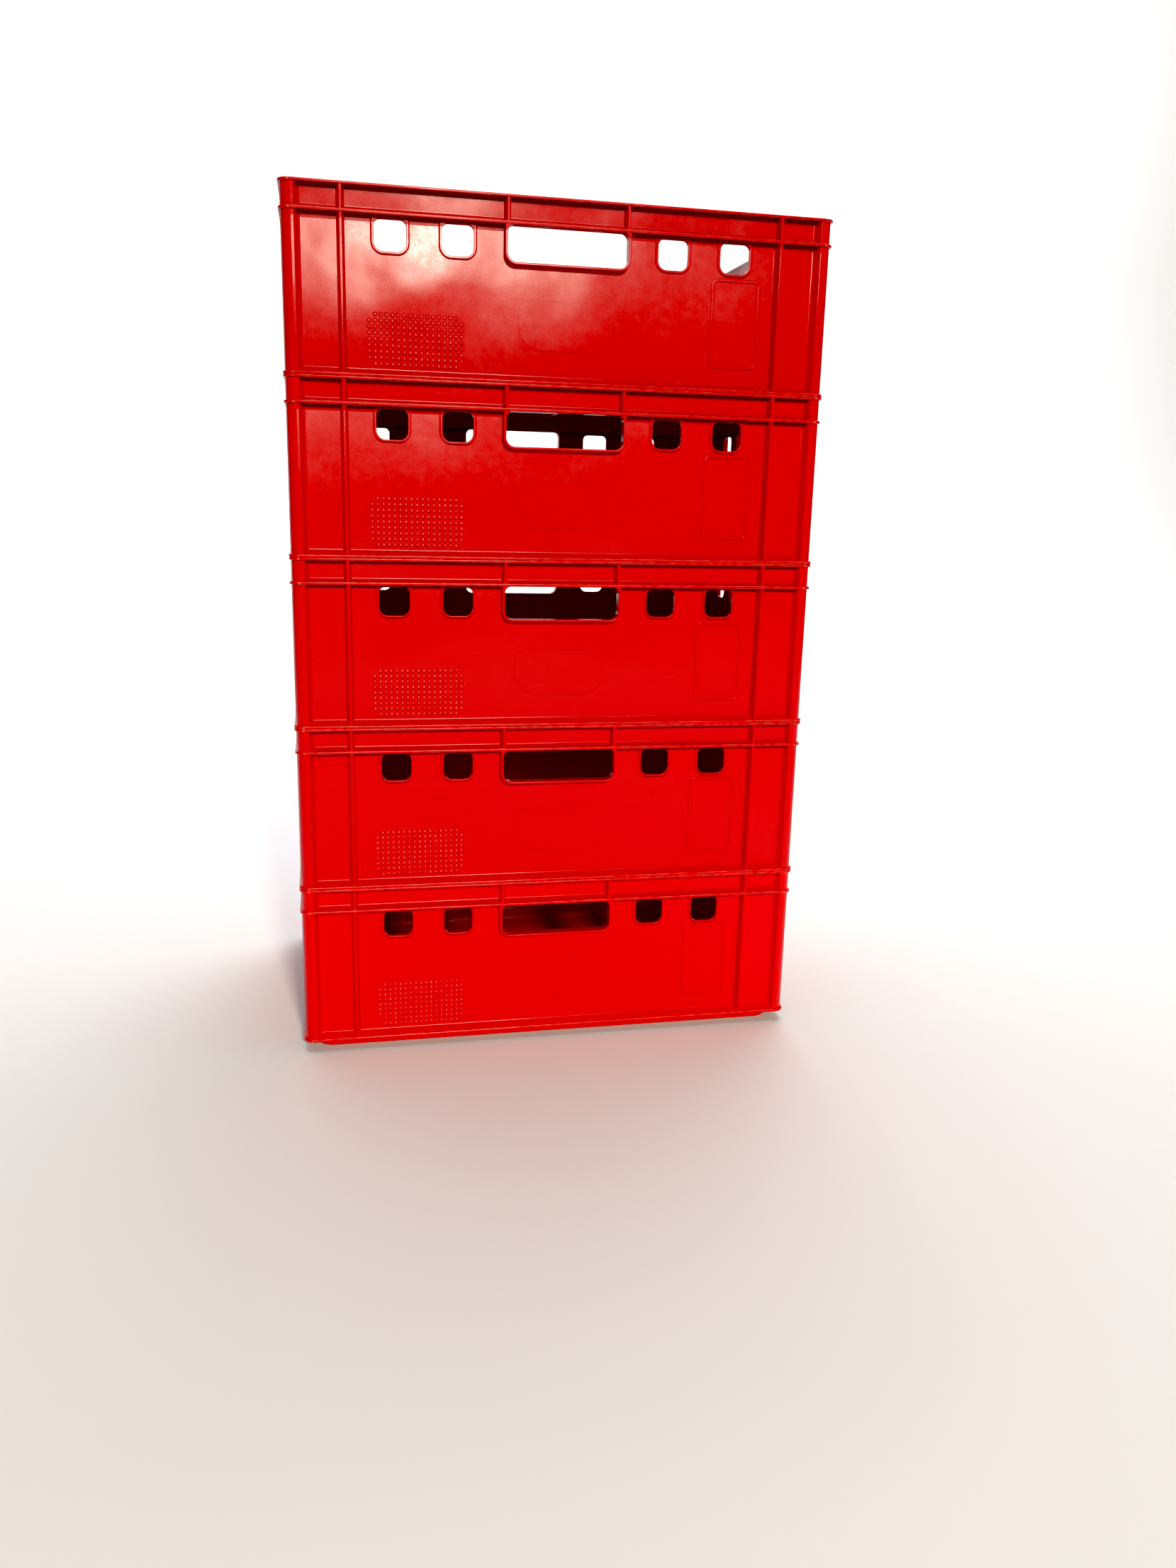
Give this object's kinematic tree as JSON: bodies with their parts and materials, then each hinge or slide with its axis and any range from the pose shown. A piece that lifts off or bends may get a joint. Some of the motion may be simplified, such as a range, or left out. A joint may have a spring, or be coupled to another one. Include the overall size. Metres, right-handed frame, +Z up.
{
  "type": "stacking crate",
  "caption": "Stack of moulded plastic transport crates with grip openings and vents, each nested by its foot in the rim below and free to lift off.",
  "frame": {"origin": "on the ground, at the middle of the stack's footprint", "axes": "+X along the long sides, +Y along the short sides, +Z up the stack"},
  "size_m": [0.6, 0.4, 0.952],
  "materials": {
    "crate_plastic": "satin injection-moulded polyethylene, one red throughout"
  },
  "bodies": {
    "crate_1": {"crate_1": "crate_plastic"},
    "crate_2": {"crate_2": "crate_plastic"},
    "crate_3": {"crate_3": "crate_plastic"},
    "crate_4": {"crate_4": "crate_plastic"},
    "crate_5": {"crate_5": "crate_plastic"}
  },
  "joints": [
    {"name": "lift_2", "type": "slide", "parent": "crate_1", "child": "crate_2", "axis": [0, 0, 1], "range_m": [0, 0.25]},
    {"name": "lift_3", "type": "slide", "parent": "crate_2", "child": "crate_3", "axis": [0, 0, 1], "range_m": [0, 0.25]},
    {"name": "lift_4", "type": "slide", "parent": "crate_3", "child": "crate_4", "axis": [0, 0, 1], "range_m": [0, 0.25]},
    {"name": "lift_5", "type": "slide", "parent": "crate_4", "child": "crate_5", "axis": [0, 0, 1], "range_m": [0, 0.25]}
  ]
}
